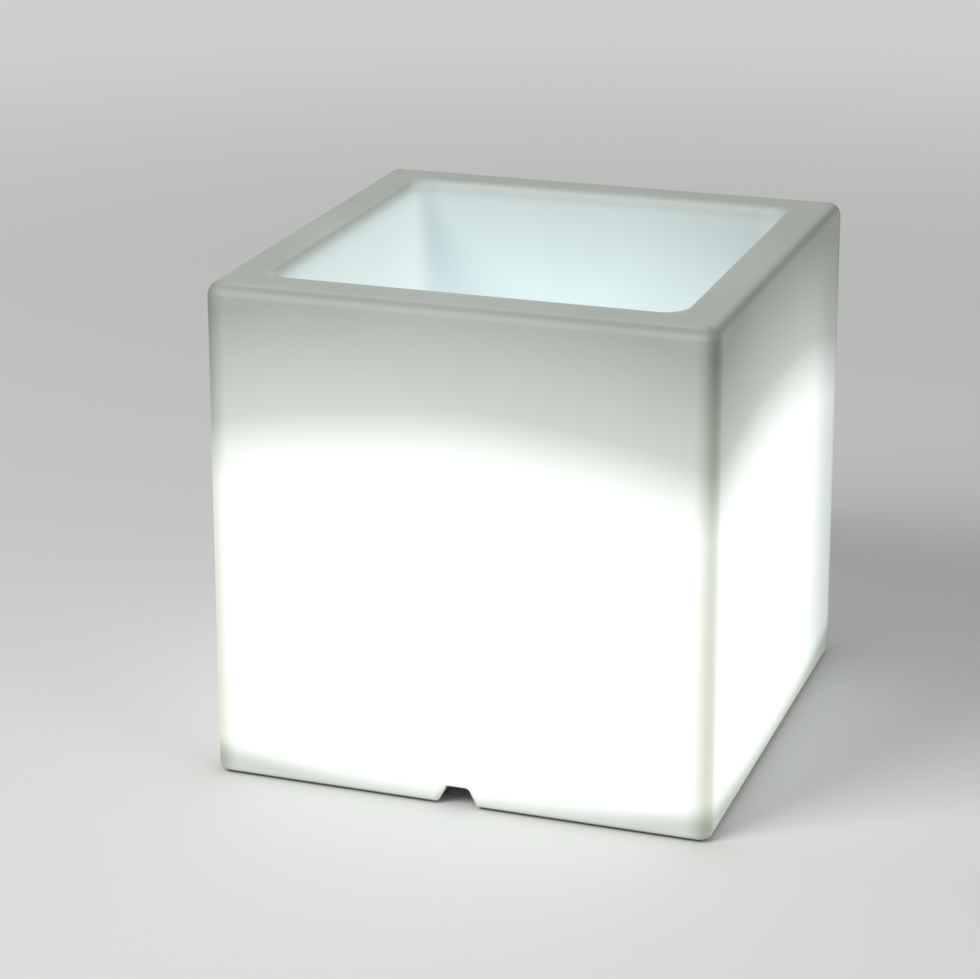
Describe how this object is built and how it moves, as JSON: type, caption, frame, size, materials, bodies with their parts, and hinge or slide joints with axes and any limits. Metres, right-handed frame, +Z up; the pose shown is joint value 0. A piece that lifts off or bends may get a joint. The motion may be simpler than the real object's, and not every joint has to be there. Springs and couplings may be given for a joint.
{
  "type": "led cube light",
  "caption": "Glowing double-walled cube light with an open planter well, a cable notch in its base and a sealed rechargeable light module underneath",
  "frame": {"origin": "middle of the base, at the level of the underside of the foot pads", "axes": "+Z up, -Y out of the face with the cable notch, +X to the right seen from that face"},
  "size_m": [0.402, 0.402, 0.4],
  "materials": {
    "polyethylene": "satin moulded polyethylene, glowing",
    "pad_rubber": "soft black rubber",
    "brass": "turned brass",
    "tray_plastic": "fine textured white plastic",
    "screw_steel": "zinc plated steel",
    "socket_plastic": "black moulded plastic",
    "silicone": "dull grey silicone",
    "switch_metal": "bright plated metal",
    "button_steel": "brushed cap",
    "lens_clear": "clear acrylic",
    "cell_wrap": "shrink wrap sleeve",
    "contact_nickel": "nickel plated spring plate",
    "board_green": "solder mask",
    "board_white": "white solder mask on metal core",
    "spreader_metal": "plain sheet",
    "light_chip": "glowing phosphor",
    "receiver_dark": "dark filter plastic",
    "lead_sleeve": "flexible insulation"
  },
  "bodies": {
    "cube": {"cube_shell": "polyethylene", "foot_pads": "pad_rubber", "module_gasket": "pad_rubber", "module_inserts": "brass", "jack_pin": "brass", "module_tray": "tray_plastic", "module_screws": "screw_steel", "jack_nut": "screw_steel", "switch_nut": "screw_steel", "charge_jack": "socket_plastic", "battery_holder": "socket_plastic", "board_connector": "socket_plastic", "control_chips": "socket_plastic", "flap_anchor": "silicone", "power_switch": "switch_metal", "status_lens": "lens_clear", "diffuser_dome": "lens_clear", "battery_cells": "cell_wrap", "battery_contacts": "contact_nickel", "control_board": "board_green", "led_board": "board_white", "heat_spreader": "spreader_metal", "led_chips": "light_chip", "remote_receiver": "receiver_dark", "switch_lead": "lead_sleeve", "jack_lead": "lead_sleeve"},
    "button": {"power_button": "button_steel"},
    "flap": {"charge_port_flap": "silicone"}
  },
  "joints": [
    {"name": "button_press", "type": "slide", "parent": "cube", "child": "button", "axis": [0, 0, 1], "range_m": [0, 0.0015], "stiffness_N_per_m": 600, "springref_m": -0.002},
    {"name": "flap_swing", "type": "hinge", "parent": "cube", "child": "flap", "pos_m": [0.024, -0.0055, 0.0313], "axis": [1, 0, 0], "range_deg": [0, 100]}
  ]
}
